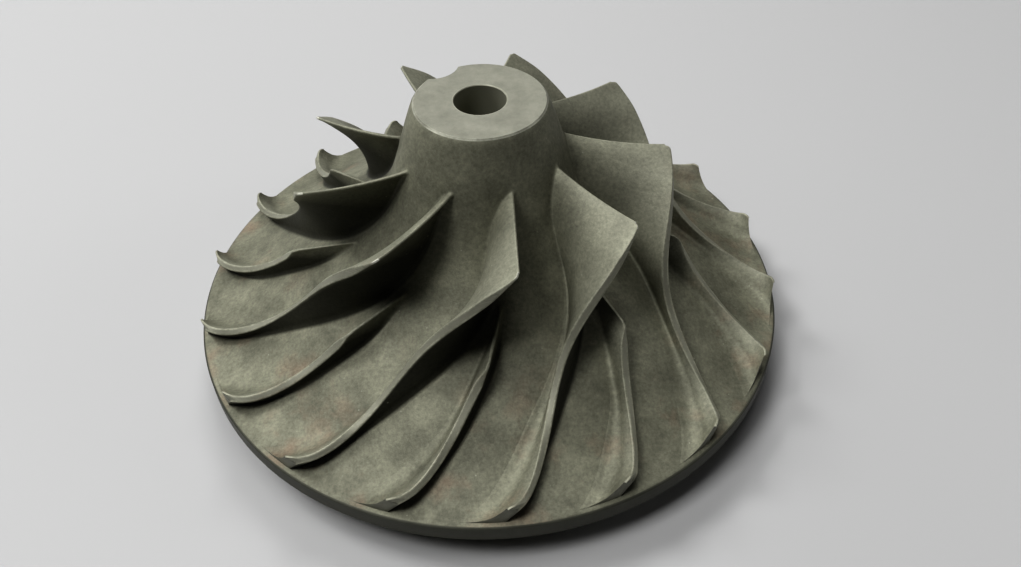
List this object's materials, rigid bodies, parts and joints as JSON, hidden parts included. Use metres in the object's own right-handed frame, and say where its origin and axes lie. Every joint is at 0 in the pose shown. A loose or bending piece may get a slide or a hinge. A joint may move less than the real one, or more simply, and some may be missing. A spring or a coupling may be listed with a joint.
{
  "type": "compressor wheel",
  "caption": "Cast centrifugal compressor wheel of a turbocharger, with tall and short swept blades on a flared hub and a through bore.",
  "frame": {"origin": "centre of the rear boss face, on the bore axis", "axes": "+Z along the bore axis towards the nose; the picture looks along +Y from above the -Y side"},
  "size_m": [0.125, 0.125, 0.0589],
  "materials": {
    "cast_aluminium": "bead-blasted casting, dull grey with light brown stains"
  },
  "bodies": {
    "root": {"hub_disc": "cast_aluminium", "full_blade_1": "cast_aluminium", "full_blade_2": "cast_aluminium", "full_blade_3": "cast_aluminium", "full_blade_4": "cast_aluminium", "full_blade_5": "cast_aluminium", "full_blade_6": "cast_aluminium", "full_blade_7": "cast_aluminium", "full_blade_8": "cast_aluminium", "full_blade_9": "cast_aluminium", "splitter_blade_1": "cast_aluminium", "splitter_blade_2": "cast_aluminium", "splitter_blade_3": "cast_aluminium", "splitter_blade_4": "cast_aluminium", "splitter_blade_5": "cast_aluminium", "splitter_blade_6": "cast_aluminium", "splitter_blade_7": "cast_aluminium", "splitter_blade_8": "cast_aluminium", "splitter_blade_9": "cast_aluminium"}
  },
  "joints": []
}
